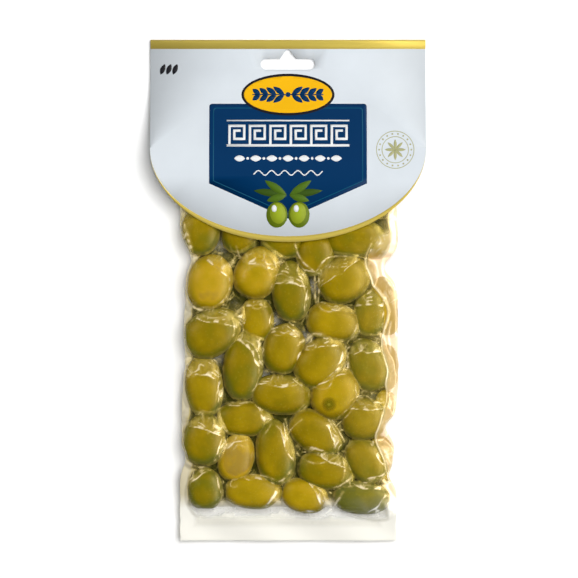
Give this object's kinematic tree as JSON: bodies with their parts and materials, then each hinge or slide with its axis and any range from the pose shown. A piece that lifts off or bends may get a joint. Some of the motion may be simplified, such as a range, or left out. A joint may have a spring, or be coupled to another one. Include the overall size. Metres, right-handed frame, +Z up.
{
  "type": "vacuum pouch of olives",
  "caption": "Clear vacuum pouch drawn tight over whole green olives, under a folded hanging card with a hang hole.",
  "frame": {"origin": "under the middle of the pack's bounding box, on the surface that it lies on", "axes": "+Y along the pack towards the card's fold and the hang hole, +X across the pack to the right of the shown face, +Z up out of the shown face"},
  "size_m": [0.12, 0.2182, 0.0183],
  "materials": {
    "pouch": "clear glossy film drawn tight over green olives",
    "header_card": "smooth coated board with a satin print"
  },
  "bodies": {
    "root": {"pouch": "pouch", "header_card": "header_card"}
  },
  "joints": []
}
